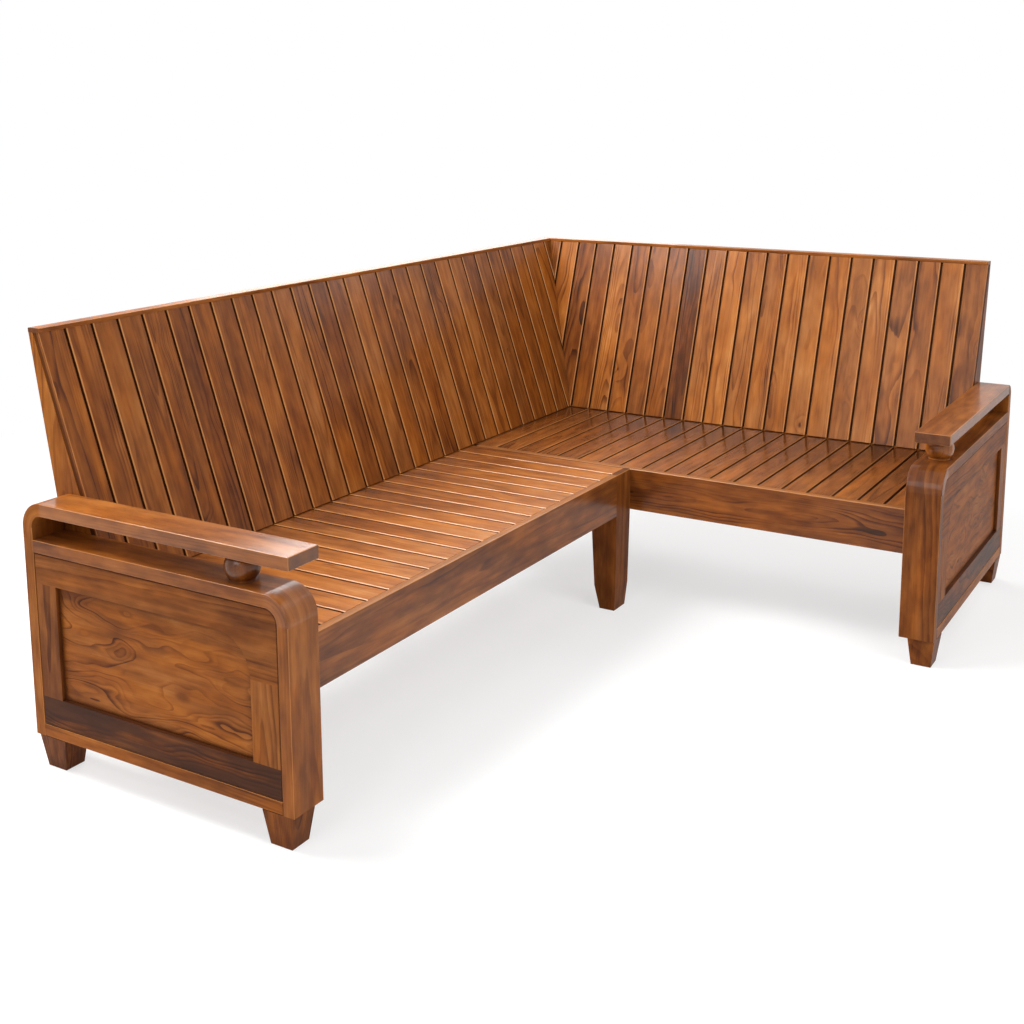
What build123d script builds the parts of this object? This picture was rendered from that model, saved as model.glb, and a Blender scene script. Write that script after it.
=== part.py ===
from build123d import *
import os
from math import atan, ceil, cos, sin

os.makedirs("parts", exist_ok=True)

# Seat and back, in millimetres
long_seat_length = 1432.0  # left arm to the face of the short seat
short_seat_length = 780.0  # face of the long seat to the right arm
long_seat_depth = 526.0  # seat front to back slats, at seat height
short_seat_depth = 612.0
seat_height = 400.0
back_height = 950.0
back_lean = 184.0  # how far the slats lean back between seat height and the top

# Slats
long_slat_count = 19  # seat slats from the left arm to the short seat
short_slat_count = 19  # seat slats from the right arm to the long back
slat_gap = 7.0
slat_play = 1.5  # between an arm and the first slat
slat_chamfer = 1.5
seat_slat_thickness = 18.0
back_slat_thickness = 16.0
back_slat_lift = 3.0  # from the seat to the foot of the back slats
narrowest_slat = 12.0
slat_end_play = 1.0
lip_thickness = 6.0  # rear lip of a back slat, which closes the groove beside it
lip_play = 0.6

# Seat rails and bearers
rail_height = 118.0
rail_thickness = 28.0
rail_rounding = 4.0
rail_ledge = 10.0  # rebate that carries the front ends of the slats
rear_lip_thickness = 10.0  # of a rear rail, behind the rear ends of the slats
bearer_height = 50.0
bearer_thickness = 28.0
long_bearer_set = 262.0  # middle of the bearer behind the seat front
short_bearer_set = 310.0
tenon_length = 12.0
tenon_thickness = 12.0
tenon_shoulder = 14.0  # left above and below a tenon

# Back frame
cap_thickness = 10.0
cap_overhang = 1.0
cap_rounding = 2.0
post_width = 30.0
post_top_depth = 13.0
post_base_depth = 88.0  # at the underside of the seat rails
rear_leg_inset = 10.0
rear_leg_floor_depth = 50.0
corner_post_size = 60.0
corner_post_floor_size = 44.0
batten_width = 60.0
batten_thickness = 15.0
batten_tenon_thickness = 7.0
batten_shoulder = 10.0
lower_batten_set = 40.0  # along the slats from seat height
upper_batten_drop = 54.0  # along the slats, from their top
mitre_gap = 0.5

# Bolts through the posts into the rear rails
bolt_radius = 4.0
bolt_head_radius = 9.0
bolt_head_height = 5.0
bolt_bite = 14.0  # how far a bolt reaches into the rail
bolt_seat = 70.0  # from the face of the rail to the underside of the head
corner_bolt_seat = 46.0
bolt_sink_radius = 11.0
lower_bolt_rise = 24.0  # above the underside of the rail
upper_bolt_drop = 26.0  # below the top of the rear rail

# Arms
arm_width = 90.0
arm_reach = 36.0  # front of the arm ahead of the seat front
arm_behind = 160.0  # back of the arm behind the back slats, at seat height
rest_height = 597.0
hoop_height = 515.0
arm_board = 28.0
board_rounding = 2.5
left_rest_bend = 56.0  # outer radius at the back of the armrest
right_rest_bend = 34.0
hoop_bend = 58.0  # outer radius at the front of the hoop
left_rest_reach = 6.0  # front end of the armrest ahead of the front post
right_rest_reach = -62.0
tongue_length = 12.0
tongue_thickness = 8.0
tongue_shoulder = 12.0
lining_thickness = 18.0

# Inset frame and panel of an arm
frame_thickness = 22.0
frame_set = 1.0  # face of the frame behind the face of the hoop
frame_gap = 0.8
frame_bevel = 2.2  # round the face of the frame, which draws a groove beside the hoop
top_rail_width = 66.0
bottom_rail_width = 65.0
front_stile_width = 70.0
rear_stile_width = 60.0
arch_radius = 85.0
panel_recess = 9.0
panel_thickness = 10.0
panel_tongue = 8.0

# Ball under the armrest
ball_set = 147.0  # centre behind the front of the arm
ball_radius = 36.0
collar_radius = 27.0
collar_height = 4.0
spigot_radius = 9.0
spigot_length = 14.0

# Feet
foot_height = 73.0
foot_depth = 76.0
foot_width = 68.0
foot_taper = 11.0  # at the front and back
foot_side_taper = 9.0
front_foot_set = 4.0
rear_foot_set = 12.0
foot_pin_radius = 12.0
foot_pin_length = 16.0

# Leg in the inner corner of the L
leg_width = 84.0
leg_depth = 80.0
knee_height = 68.0
knee_front_inset = 4.0
knee_rear_inset = 10.0
knee_side_inset = 3.0
leg_floor_front_inset = 10.0
leg_floor_rear_inset = 24.0
leg_floor_side_inset = 9.0

fit = 0.2  # play around tenons, tongues and pins, and between raked pieces

lean = back_lean / (back_height - seat_height)
rake = atan(lean)
slat_depth = back_slat_thickness / cos(rake)
slat_base = seat_height - seat_slat_thickness
rail_base = seat_height - rail_height
cap_base = back_height - cap_thickness
cap_depth = slat_depth + fit + post_top_depth + cap_overhang
cap_lean = lean * (cap_base - seat_height)
slat_top = (cap_base - seat_height) / cos(rake)
bolt_heights = (rail_base + lower_bolt_rise, slat_base - upper_bolt_drop)

# The origin is on the floor, at the middle of the bench's outer rectangle
corner_x = (long_seat_length + arm_width - short_seat_depth - cap_lean - cap_depth) / 2
corner_y = (short_seat_length + arm_width - long_seat_depth - cap_lean - cap_depth) / 2
up = Vector(0, 0, 1)


class Run:
    # One run of the L: a is measured along it towards the back's corner, b from its seat front to its back,
    # both from the inner corner of the L
    def __init__(
        self, along, inward, seat_length, seat_depth, other_depth, slat_span, slat_count, bearer_set
    ):
        self.along = Vector(*along)
        self.inward = Vector(*inward)
        self.length_axis = Axis((0, 0, 0), along)
        self.depth_axis = Axis((0, 0, 0), inward)
        self.seat_depth = seat_depth
        self.other_depth = other_depth
        self.arm_face = -seat_length
        self.slat_count = slat_count
        self.pitch = (slat_span - slat_play) / slat_count
        self.post_front = seat_depth + slat_depth + fit
        self.rear_rail = (self.post_front - rail_thickness, self.post_front)
        self.rear_lip = (self.post_front - rear_lip_thickness, self.post_front)
        self.bearer = (bearer_set - bearer_thickness / 2, bearer_set + bearer_thickness / 2)
        self.front_rail = (0, rail_thickness)

    def point(self, a, b, z):
        return Vector(corner_x, corner_y, 0) + self.along * a + self.inward * b + up * z

    def extent(self, a, b, z):
        size = self.along * a + self.inward * b + up * z
        return size.X, size.Y, size.Z

    def side(self, a):
        return Plane(origin=self.point(a, 0, 0), x_dir=self.inward, z_dir=self.inward.cross(up))

    def front(self, b):
        return Plane(origin=self.point(0, b, 0), x_dir=self.along, z_dir=self.along.cross(up))

    def face(self, z):
        return self.seat_depth + lean * (z - seat_height)

    def backing(self, z):
        return self.face(z) + slat_depth + fit

    def mitre(self):
        start = self.point(self.other_depth - mitre_gap, self.seat_depth, 0)
        return Plane(origin=start, x_dir=up, z_dir=self.inward - self.along)

    def corner_face(self):
        start = self.point(self.other_depth + slat_depth, 0, seat_height)
        return Plane(origin=start, x_dir=self.inward, z_dir=up * sin(rake) - self.along * cos(rake))

    def slat(self, index):
        low = self.arm_face + slat_play + index * self.pitch
        return low, low + self.pitch - slat_gap

    def raked(self, s, n):
        # Corners of a rectangle that lies along the slats: s up the rake, n behind the face of the slats
        return [
            (
                self.seat_depth + up_rake * sin(rake) + behind * cos(rake),
                seat_height + up_rake * cos(rake) - behind * sin(rake),
            )
            for up_rake, behind in ((s[0], n[0]), (s[1], n[0]), (s[1], n[1]), (s[0], n[1]))
        ]


long_run = Run(
    (1, 0, 0), (0, 1, 0), long_seat_length, long_seat_depth, short_seat_depth,
    long_seat_length, long_slat_count, long_bearer_set,
)
short_run = Run(
    (0, 1, 0), (1, 0, 0), short_seat_length, short_seat_depth, long_seat_depth,
    short_seat_length + long_seat_depth, short_slat_count, short_bearer_set,
)


def middle(span):
    return (span[0] + span[1]) / 2


def inside(span, margin):
    return span[0] + margin, span[1] - margin


def about(centre, thickness):
    return centre - thickness / 2, centre + thickness / 2


def block(run, a, b, z, mode=Mode.ADD):
    with Locations(run.point(middle(a), middle(b), middle(z))):
        Box(*run.extent(a[1] - a[0], b[1] - b[0], z[1] - z[0]), mode=mode)


def socket(run, a, b, z):
    block(run, inside(a, -fit), inside(b, -fit), inside(z, -fit), mode=Mode.SUBTRACT)


def prism(run, outline, a, mode=Mode.ADD):
    with BuildSketch(run.side(a[0])) as drawn:
        with BuildLine():
            Polyline(*outline, close=True)
        make_face()
    extrude(drawn.sketch, amount=a[1] - a[0], dir=run.along, mode=mode)


def rod(run, a, z, b, radius, mode=Mode.ADD):
    with BuildSketch(run.front(b[0])) as drawn:
        with Locations((a, z)):
            Circle(radius)
    extrude(drawn.sketch, amount=b[1] - b[0], dir=run.inward, mode=mode)


def pin(run, a, b, z, radius, mode=Mode.ADD):
    with Locations(run.point(a, b, middle(z))):
        Cylinder(radius, z[1] - z[0], mode=mode)


def taper(run, low, high):
    sections = []
    for a, b, z in (low, high):
        with BuildSketch(Plane.XY.offset(z)) as drawn:
            with Locations(run.point(middle(a), middle(b), 0)):
                Rectangle(*run.extent(a[1] - a[0], b[1] - b[0], 0)[:2])
        sections.append(drawn.sketch)
    loft(sections, ruled=True)


def ledged(run, depth, a):
    # Upright member with a rounded front edge and a ledge for the slat ends
    lip = rail_thickness - rail_ledge
    with BuildSketch(run.side(a[0])) as drawn:
        with BuildLine():
            Polyline(
                (0, rail_base), (depth, rail_base), (depth, slat_base),
                (lip, slat_base), (lip, seat_height), (0, seat_height), close=True,
            )
        make_face()
        fillet(drawn.vertices().group_by(Axis.Y)[-1].sort_by(Axis.X)[0], rail_rounding)
    extrude(drawn.sketch, amount=a[1] - a[0], dir=run.along)


def keep(built, name):
    built.part.label = name
    export_step(built.part, f"parts/{name}.step")


# Tenons on the ends of the seat members, as spans along a, b and z
def tenon(a, b, z):
    return a, about(middle(b), tenon_thickness), inside(z, tenon_shoulder)


rail_rise = (rail_base, slat_base)
lip_rise = (slat_base, seat_height + back_slat_lift - fit)  # up to the feet of the back slats
bearer_rise = (slat_base - bearer_height, slat_base)


def arm_tenons(run):
    a = (run.arm_face - tenon_length, run.arm_face)
    return [
        tenon(a, run.front_rail, rail_rise),
        tenon(a, run.bearer, bearer_rise),
        tenon(a, run.rear_rail, rail_rise),
    ]


long_rail_end = -leg_width
leg_tenon = tenon((long_rail_end, long_rail_end + tenon_length), long_run.front_rail, rail_rise)
divider_tenon = tenon((0, tenon_length), long_run.bearer, bearer_rise)
rear_corner_end = short_run.rear_rail[0]
rear_corner_tenon = tenon((rear_corner_end, rear_corner_end + tenon_length), long_run.rear_rail, rail_rise)
short_end = long_run.rear_rail[0]
short_rail_tenon = tenon((short_end, short_end + tenon_length), short_run.front_rail, rail_rise)
short_bearer_tenon = tenon((short_end, short_end + tenon_length), short_run.bearer, bearer_rise)


# Arms
def make_arm(run, name, rest_reach, rest_bend):
    front = -arm_reach
    rear = run.seat_depth + arm_behind
    width = (run.arm_face - arm_width, run.arm_face)
    tongue = inside(width, tongue_shoulder)
    half_tongue = (arm_board - tongue_thickness) / 2
    rest_rise = (rest_height - arm_board, rest_height)
    hoop_rise = (hoop_height - arm_board, hoop_height)
    base_rise = (foot_height, foot_height + arm_board)
    rear_boards = (rear - arm_board, rear)
    front_boards = (front, front + arm_board)
    rest_turn = (rear - rest_bend, rest_height - rest_bend)
    hoop_turn = (front + hoop_bend, hoop_height - hoop_bend)
    ball_centre = front + ball_set

    post_tongue = (tongue, inside(rear_boards, half_tongue), (rest_turn[1] - tongue_length, rest_turn[1]))
    rest_tongue = (tongue, (rest_turn[0] - tongue_length, rest_turn[0]), inside(rest_rise, half_tongue))
    top_tongue = (tongue, (rear_boards[0], rear_boards[0] + tongue_length), inside(hoop_rise, half_tongue))
    base_tongue_rise = inside(base_rise, half_tongue)
    base_rear_tongue = (tongue, (rear_boards[0], rear_boards[0] + tongue_length), base_tongue_rise)
    base_front_tongue = (tongue, (front_boards[1] - tongue_length, front_boards[1]), base_tongue_rise)
    hoop_tongue = (tongue, (hoop_turn[0], hoop_turn[0] + tongue_length), inside(hoop_rise, half_tongue))
    leg_tongue = (tongue, inside(front_boards, half_tongue), (hoop_turn[1] - tongue_length, hoop_turn[1]))

    with BuildPart() as rear_post:
        block(run, width, rear_boards, (foot_height, rest_turn[1]))
        fillet(rear_post.edges().filter_by(Axis.Z), board_rounding)
        socket(run, *post_tongue)
        socket(run, *top_tongue)
        socket(run, *base_rear_tongue)
    keep(rear_post, f"{name}_rear_post")

    with BuildPart() as rear_corner:
        with BuildSketch(run.side(width[0])) as bend:
            with Locations(rest_turn):
                Circle(rest_bend)
                Circle(rest_bend - arm_board, mode=Mode.SUBTRACT)
            with Locations((rest_turn[0] + rest_bend / 2, rest_turn[1] + rest_bend / 2)):
                Rectangle(rest_bend, rest_bend, mode=Mode.INTERSECT)
        extrude(bend.sketch, amount=arm_width, dir=run.along)
        fillet(rear_corner.edges().filter_by(GeomType.CIRCLE), board_rounding)
        block(run, *post_tongue)
        block(run, *rest_tongue)
    keep(rear_corner, f"{name}_rear_corner")

    with BuildPart() as armrest:
        block(run, width, (front - rest_reach, rest_turn[0]), rest_rise)
        nose = armrest.faces().sort_by(run.depth_axis)[0].edges()
        fillet(armrest.edges().filter_by(run.depth_axis) + nose, board_rounding)
        socket(run, *rest_tongue)
        pin(run, middle(width), ball_centre, (rest_rise[0], rest_rise[0] + spigot_length + fit),
            spigot_radius + fit, mode=Mode.SUBTRACT)
    keep(armrest, f"{name}_armrest")

    with BuildPart() as ball:
        half_height = (rest_rise[0] - hoop_height) / 2
        flat = half_height - collar_height
        shoulder = (ball_radius**2 - flat**2) ** 0.5
        tip = half_height + spigot_length
        centre = run.point(middle(width), ball_centre, hoop_height + half_height)
        with BuildSketch(Plane(origin=centre, x_dir=run.inward, z_dir=run.inward.cross(up))) as turning:
            with BuildLine():
                Polyline(
                    (shoulder, -flat), (collar_radius, -flat), (collar_radius, -half_height),
                    (spigot_radius, -half_height), (spigot_radius, -tip), (0, -tip), (0, tip),
                    (spigot_radius, tip), (spigot_radius, half_height), (collar_radius, half_height),
                    (collar_radius, flat), (shoulder, flat),
                )
                ThreePointArc((shoulder, flat), (ball_radius, 0), (shoulder, -flat))
            make_face()
        revolve(turning.sketch, axis=Axis(centre, up))
    keep(ball, f"{name}_ball")

    with BuildPart() as top_board:
        block(run, width, (hoop_turn[0], rear_boards[0]), hoop_rise)
        fillet(top_board.edges().filter_by(run.depth_axis), board_rounding)
        block(run, *top_tongue)
        socket(run, *hoop_tongue)
        pin(run, middle(width), ball_centre, (hoop_height - spigot_length - fit, hoop_height),
            spigot_radius + fit, mode=Mode.SUBTRACT)
    keep(top_board, f"{name}_top_board")

    with BuildPart() as front_corner:
        with BuildSketch(run.side(width[0])) as bend:
            with Locations(hoop_turn):
                Circle(hoop_bend)
                Circle(hoop_bend - arm_board, mode=Mode.SUBTRACT)
            with Locations((hoop_turn[0] - hoop_bend / 2, hoop_turn[1] + hoop_bend / 2)):
                Rectangle(hoop_bend, hoop_bend, mode=Mode.INTERSECT)
        extrude(bend.sketch, amount=arm_width, dir=run.along)
        fillet(front_corner.edges().filter_by(GeomType.CIRCLE), board_rounding)
        block(run, *hoop_tongue)
        block(run, *leg_tongue)
    keep(front_corner, f"{name}_front_corner")

    with BuildPart() as front_post:
        block(run, width, front_boards, (foot_height, hoop_turn[1]))
        fillet(front_post.edges().filter_by(Axis.Z), board_rounding)
        socket(run, *leg_tongue)
        socket(run, *base_front_tongue)
    keep(front_post, f"{name}_front_post")

    foot_width_span = (width[0], width[0] + foot_width)
    front_foot_span = (front + front_foot_set, front + front_foot_set + foot_depth)
    rear_foot_span = (rear - rear_foot_set - foot_depth, rear - rear_foot_set)

    with BuildPart() as bottom_board:
        block(run, width, (front_boards[1], rear_boards[0]), base_rise)
        fillet(bottom_board.edges().filter_by(run.depth_axis), board_rounding)
        block(run, *base_front_tongue)
        block(run, *base_rear_tongue)
        for span in (front_foot_span, rear_foot_span):
            pin_rise = (foot_height, foot_height + foot_pin_length + fit)
            pin(run, middle(foot_width_span), middle(span), pin_rise, foot_pin_radius + fit, Mode.SUBTRACT)
    keep(bottom_board, f"{name}_bottom_board")

    for foot_name, span in (("front", front_foot_span), ("rear", rear_foot_span)):
        with BuildPart() as foot:
            sole = (inside(foot_width_span, foot_side_taper), inside(span, foot_taper), 0)
            taper(run, sole, (foot_width_span, span, foot_height))
            pin(run, middle(foot_width_span), middle(span), (foot_height, foot_height + foot_pin_length),
                foot_pin_radius)
        keep(foot, f"{name}_{foot_name}_foot")

    with BuildPart() as lining:
        lining_width = (width[1] - lining_thickness, width[1])
        lining_depth = (front_boards[1] + fit, rear_boards[0] - fit)
        block(run, lining_width, lining_depth, (base_rise[1], hoop_rise[0] - fit))
        top_edges = lining.edges().filter_by(run.length_axis).group_by(Axis.Z)[-1]
        fillet(top_edges.sort_by(run.depth_axis)[0], hoop_bend - arm_board)
        for spans in arm_tenons(run):
            socket(run, *spans)
    keep(lining, f"{name}_lining")

    # Inset frame and panel
    frame = (width[0] + frame_set, width[0] + frame_set + frame_thickness)
    frame_b = (front_boards[1] + frame_gap, rear_boards[0] - frame_gap)
    frame_z = (base_rise[1], hoop_rise[0] - frame_gap)
    open_b = (frame_b[0] + front_stile_width, frame_b[1] - rear_stile_width)
    open_z = (frame_z[0] + bottom_rail_width, frame_z[1] - top_rail_width)
    arch_base = open_z[1] - arch_radius
    outer_round = hoop_bend - arm_board - frame_gap
    panel_width = (frame[0] + panel_recess, frame[0] + panel_recess + panel_thickness)
    bow = 1 - cos(atan(1))  # how far a quarter arc's middle lies in from its corner, for a radius of one
    stile_tenon = about(middle(frame), tongue_thickness)
    rear_tenon = inside((open_b[1], frame_b[1]), tongue_shoulder)
    front_tenon = inside((frame_b[0], open_b[0]), tongue_shoulder)
    top_of_rear = (stile_tenon, rear_tenon, (open_z[1], open_z[1] + tongue_length))
    top_of_front = (stile_tenon, front_tenon, (arch_base, arch_base + tongue_length))
    foot_of_rear = (stile_tenon, rear_tenon, (open_z[0] - tongue_length, open_z[0]))
    foot_of_front = (stile_tenon, front_tenon, (open_z[0] - tongue_length, open_z[0]))

    def arched(a, b, z, radius, mode=Mode.ADD):
        # A plate over the spans b and z, with its front top corner rounded
        with BuildSketch(run.side(a[0])) as drawn:
            with BuildLine():
                Polyline(
                    (b[0], z[1] - radius), (b[0], z[0]), (b[1], z[0]), (b[1], z[1]), (b[0] + radius, z[1])
                )
                ThreePointArc(
                    (b[0] + radius, z[1]),
                    (b[0] + bow * radius, z[1] - bow * radius),
                    (b[0], z[1] - radius),
                )
            make_face()
        extrude(drawn.sketch, amount=a[1] - a[0], dir=run.along, mode=mode)

    def board(margin, play, mode):
        # The panel: the opening grown by the margin all round, with play on its two faces
        spans = [inside(span, -margin) for span in (open_b, open_z)]
        arched(inside(panel_width, -play), *spans, arch_radius + margin, mode)

    # The frame's outer outline as one bevelled plate, which trims its four members
    with BuildPart() as plate:
        arched(frame, frame_b, frame_z, outer_round)
        chamfer(plate.faces().sort_by(run.length_axis)[0].edges(), frame_bevel)

    with BuildPart() as panel_top_rail:
        block(run, frame, frame_b, (arch_base, frame_z[1]))
        arched(frame, open_b, open_z, arch_radius, Mode.SUBTRACT)
        block(run, frame, (middle(open_b), frame_b[1]), (arch_base, open_z[1]), Mode.SUBTRACT)
        board(panel_tongue + fit, fit, Mode.SUBTRACT)
        socket(run, *top_of_rear)
        socket(run, *top_of_front)
        add(plate.part, mode=Mode.INTERSECT)
    keep(panel_top_rail, f"{name}_panel_top_rail")

    with BuildPart() as panel_bottom_rail:
        block(run, frame, frame_b, (frame_z[0], open_z[0]))
        board(panel_tongue + fit, fit, Mode.SUBTRACT)
        socket(run, *foot_of_rear)
        socket(run, *foot_of_front)
        add(plate.part, mode=Mode.INTERSECT)
    keep(panel_bottom_rail, f"{name}_panel_bottom_rail")

    with BuildPart() as panel_rear_stile:
        block(run, frame, (open_b[1], frame_b[1]), open_z)
        board(panel_tongue + fit, fit, Mode.SUBTRACT)
        block(run, *top_of_rear)
        block(run, *foot_of_rear)
        add(plate.part, mode=Mode.INTERSECT)
    keep(panel_rear_stile, f"{name}_panel_rear_stile")

    with BuildPart() as panel_front_stile:
        block(run, frame, (frame_b[0], open_b[0]), (open_z[0], arch_base))
        board(panel_tongue + fit, fit, Mode.SUBTRACT)
        block(run, *top_of_front)
        block(run, *foot_of_front)
        add(plate.part, mode=Mode.INTERSECT)
    keep(panel_front_stile, f"{name}_panel_front_stile")

    with BuildPart() as panel:
        board(panel_tongue, 0, Mode.ADD)
    keep(panel, f"{name}_panel")


make_arm(long_run, "left", left_rest_reach, left_rest_bend)
make_arm(short_run, "right", right_rest_reach, right_rest_bend)

# Seat frame
with BuildPart() as long_front_rail:
    ledged(long_run, rail_thickness, (long_run.arm_face, long_rail_end))
    block(long_run, *arm_tenons(long_run)[0])
    block(long_run, *leg_tenon)
keep(long_front_rail, "long_front_rail")

with BuildPart() as short_front_rail:
    ledged(short_run, rail_thickness, (short_run.arm_face, short_end))
    block(short_run, *arm_tenons(short_run)[0])
    block(short_run, *short_rail_tenon)
    socket(long_run, *divider_tenon)
keep(short_front_rail, "short_front_rail")

with BuildPart() as inner_corner_leg:
    leg_a = (-leg_width, 0)
    leg_b = (0, leg_depth)
    knee_b = (knee_front_inset, leg_depth - knee_rear_inset)
    floor_b = (leg_floor_front_inset, leg_depth - leg_floor_rear_inset)
    knee = (inside(leg_a, knee_side_inset), knee_b, knee_height)
    ledged(long_run, leg_depth, leg_a)
    taper(long_run, knee, (leg_a, leg_b, rail_base))
    taper(long_run, (inside(leg_a, leg_floor_side_inset), floor_b, 0), knee)
    socket(long_run, *leg_tenon)
keep(inner_corner_leg, "inner_corner_leg")

with BuildPart() as long_seat_bearer:
    block(long_run, (long_run.arm_face, 0), long_run.bearer, bearer_rise)
    block(long_run, *arm_tenons(long_run)[1])
    block(long_run, *divider_tenon)
keep(long_seat_bearer, "long_seat_bearer")

with BuildPart() as short_seat_bearer:
    block(short_run, (short_run.arm_face, short_end), short_run.bearer, bearer_rise)
    block(short_run, *arm_tenons(short_run)[1])
    block(short_run, *short_bearer_tenon)
keep(short_seat_bearer, "short_seat_bearer")

# Posts of the backs, as spans along a
long_end_span = (long_run.arm_face + fit, long_run.arm_face + fit + post_width)
long_middle_span = about((long_run.arm_face + middle(short_run.front_rail)) / 2, post_width)
rear_leg_span = about(middle(short_run.front_rail), post_width)
short_end_span = (short_run.arm_face + fit, short_run.arm_face + fit + post_width)
short_middle_span = about((short_run.arm_face + long_seat_depth) / 2, post_width)
corner_span = (long_run.post_front, long_run.post_front + corner_post_size)

bolts = [
    (long_run, middle(long_end_span), bolt_seat),
    (long_run, middle(long_middle_span), bolt_seat),
    (long_run, middle(rear_leg_span), bolt_seat),
    (short_run, middle(short_end_span), bolt_seat),
    (short_run, middle(short_middle_span), bolt_seat),
    (short_run, middle(corner_span), corner_bolt_seat),
]


def bolt_holes(run, a_span, sink):
    for bolt_run, a, seat in bolts:
        if bolt_run is run and a_span[0] < a < a_span[1]:
            for z in bolt_heights:
                start = run.post_front
                rod(run, a, z, (start - bolt_bite - fit, start + seat), bolt_radius + fit, Mode.SUBTRACT)
                if sink:
                    sink_span = (start + seat, start + 2 * post_base_depth)
                    rod(run, a, z, sink_span, bolt_sink_radius, Mode.SUBTRACT)


with BuildPart() as long_rear_rail:
    block(long_run, (long_run.arm_face, rear_corner_end), long_run.rear_rail, rail_rise)
    block(long_run, (long_run.arm_face, short_run.rear_lip[0] - fit), long_run.rear_lip, lip_rise)
    block(long_run, *arm_tenons(long_run)[2])
    block(long_run, *rear_corner_tenon)
    socket(short_run, *short_rail_tenon)
    socket(short_run, *short_bearer_tenon)
    bolt_holes(long_run, (long_run.arm_face, rear_corner_end), False)
keep(long_rear_rail, "long_rear_rail")

with BuildPart() as short_rear_rail:
    block(short_run, (short_run.arm_face, corner_span[1]), short_run.rear_rail, rail_rise)
    block(short_run, (short_run.arm_face, corner_span[0]), short_run.rear_lip, lip_rise)
    block(short_run, *arm_tenons(short_run)[2])
    socket(long_run, *rear_corner_tenon)
    bolt_holes(short_run, (short_run.arm_face, corner_span[1]), False)
keep(short_rear_rail, "short_rear_rail")

with BuildPart() as post_bolts:
    for bolt_run, a, seat in bolts:
        for z in bolt_heights:
            start = bolt_run.post_front
            rod(bolt_run, a, z, (start - bolt_bite, start + seat), bolt_radius)
            rod(bolt_run, a, z, (start + seat, start + seat + bolt_head_height), bolt_head_radius)
keep(post_bolts, "post_bolts")

batten_front = back_slat_thickness + fit * cos(rake)
batten_n = (batten_front, batten_front + batten_thickness)
batten_tenon_n = about(middle(batten_n), batten_tenon_thickness)
batten_spans = [
    (lower_batten_set, lower_batten_set + batten_width),
    (slat_top - upper_batten_drop - batten_width, slat_top - upper_batten_drop),
]


def make_post(run, span, name, left_mortise, right_mortise, to_floor):
    top = run.backing(cap_base)
    outline = [
        (run.post_front, rail_base), (run.post_front, seat_height), (top, cap_base),
        (top + post_top_depth, cap_base), (run.post_front + post_base_depth, rail_base),
    ]
    if to_floor:
        foot = run.post_front + rear_leg_inset
        outline += [(foot + rear_leg_floor_depth, 0), (foot, 0)]
    with BuildPart() as post:
        prism(run, outline, span)
        for s in batten_spans:
            hole = run.raked(inside(s, batten_shoulder - fit), inside(batten_tenon_n, -fit))
            if left_mortise:
                prism(run, hole, (span[0], span[0] + tenon_length), Mode.SUBTRACT)
            if right_mortise:
                prism(run, hole, (span[1] - tenon_length, span[1]), Mode.SUBTRACT)
        bolt_holes(run, span, True)
    keep(post, name)


make_post(long_run, long_end_span, "long_end_post", False, True, False)
make_post(long_run, long_middle_span, "long_middle_post", True, True, False)
make_post(long_run, rear_leg_span, "rear_leg", True, True, True)
make_post(short_run, short_end_span, "short_end_post", False, True, False)
make_post(short_run, short_middle_span, "short_middle_post", True, True, False)

with BuildPart() as corner_post:
    corner_a = corner_span
    corner_b = (short_run.post_front, short_run.post_front + corner_post_size)
    floor_inset = (corner_post_size - corner_post_floor_size) / 2
    top_a = (long_run.backing(cap_base), long_run.backing(cap_base) + post_top_depth)
    top_b = (short_run.backing(cap_base), short_run.backing(cap_base) + post_top_depth)
    taper(short_run, (inside(corner_a, floor_inset), inside(corner_b, floor_inset), 0),
          (corner_a, corner_b, rail_base))
    block(short_run, corner_a, corner_b, (rail_base, seat_height))
    taper(short_run, (corner_a, corner_b, seat_height), (top_a, top_b, cap_base))
    bolt_holes(short_run, corner_a, True)
keep(corner_post, "corner_post")


# Battens between the posts, the last one in each row cut to the leaning corner post
def make_batten(run, posts, s, name):
    with BuildPart() as batten:
        for index, post in enumerate(posts):
            start = post[1] + fit
            last = index + 1 == len(posts)
            end = run.other_depth + slat_depth + back_lean if last else posts[index + 1][0] - fit
            prism(run, run.raked(s, batten_n), (start, end))
            stub = run.raked(inside(s, batten_shoulder), batten_tenon_n)
            prism(run, stub, (start - tenon_length, start))
            if not last:
                prism(run, stub, (end, end + tenon_length))
        split(bisect_by=run.corner_face(), keep=Keep.TOP)
    keep(batten, name)


for row, s in zip(("lower", "upper"), batten_spans):
    make_batten(long_run, [long_end_span, long_middle_span, rear_leg_span], s, f"long_{row}_batten")
    make_batten(short_run, [short_end_span, short_middle_span], s, f"short_{row}_batten")


# Slats
def make_seat_slats(run, name, last_edge):
    start = rail_thickness - rail_ledge + slat_end_play
    end = run.rear_lip[0] - slat_end_play
    with BuildPart() as slats:
        with BuildSketch(run.front(start)) as drawn:
            for index in range(run.slat_count):
                low, high = run.slat(index)
                if index == run.slat_count - 1:
                    high = max(high, last_edge)
                with BuildLine():
                    Polyline(
                        (low, slat_base), (high, slat_base), (high, seat_height - slat_chamfer),
                        (high - slat_chamfer, seat_height), (low + slat_chamfer, seat_height),
                        (low, seat_height - slat_chamfer), close=True,
                    )
                make_face()
        extrude(drawn.sketch, amount=end - start, dir=run.inward)
    keep(slats, name)


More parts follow.
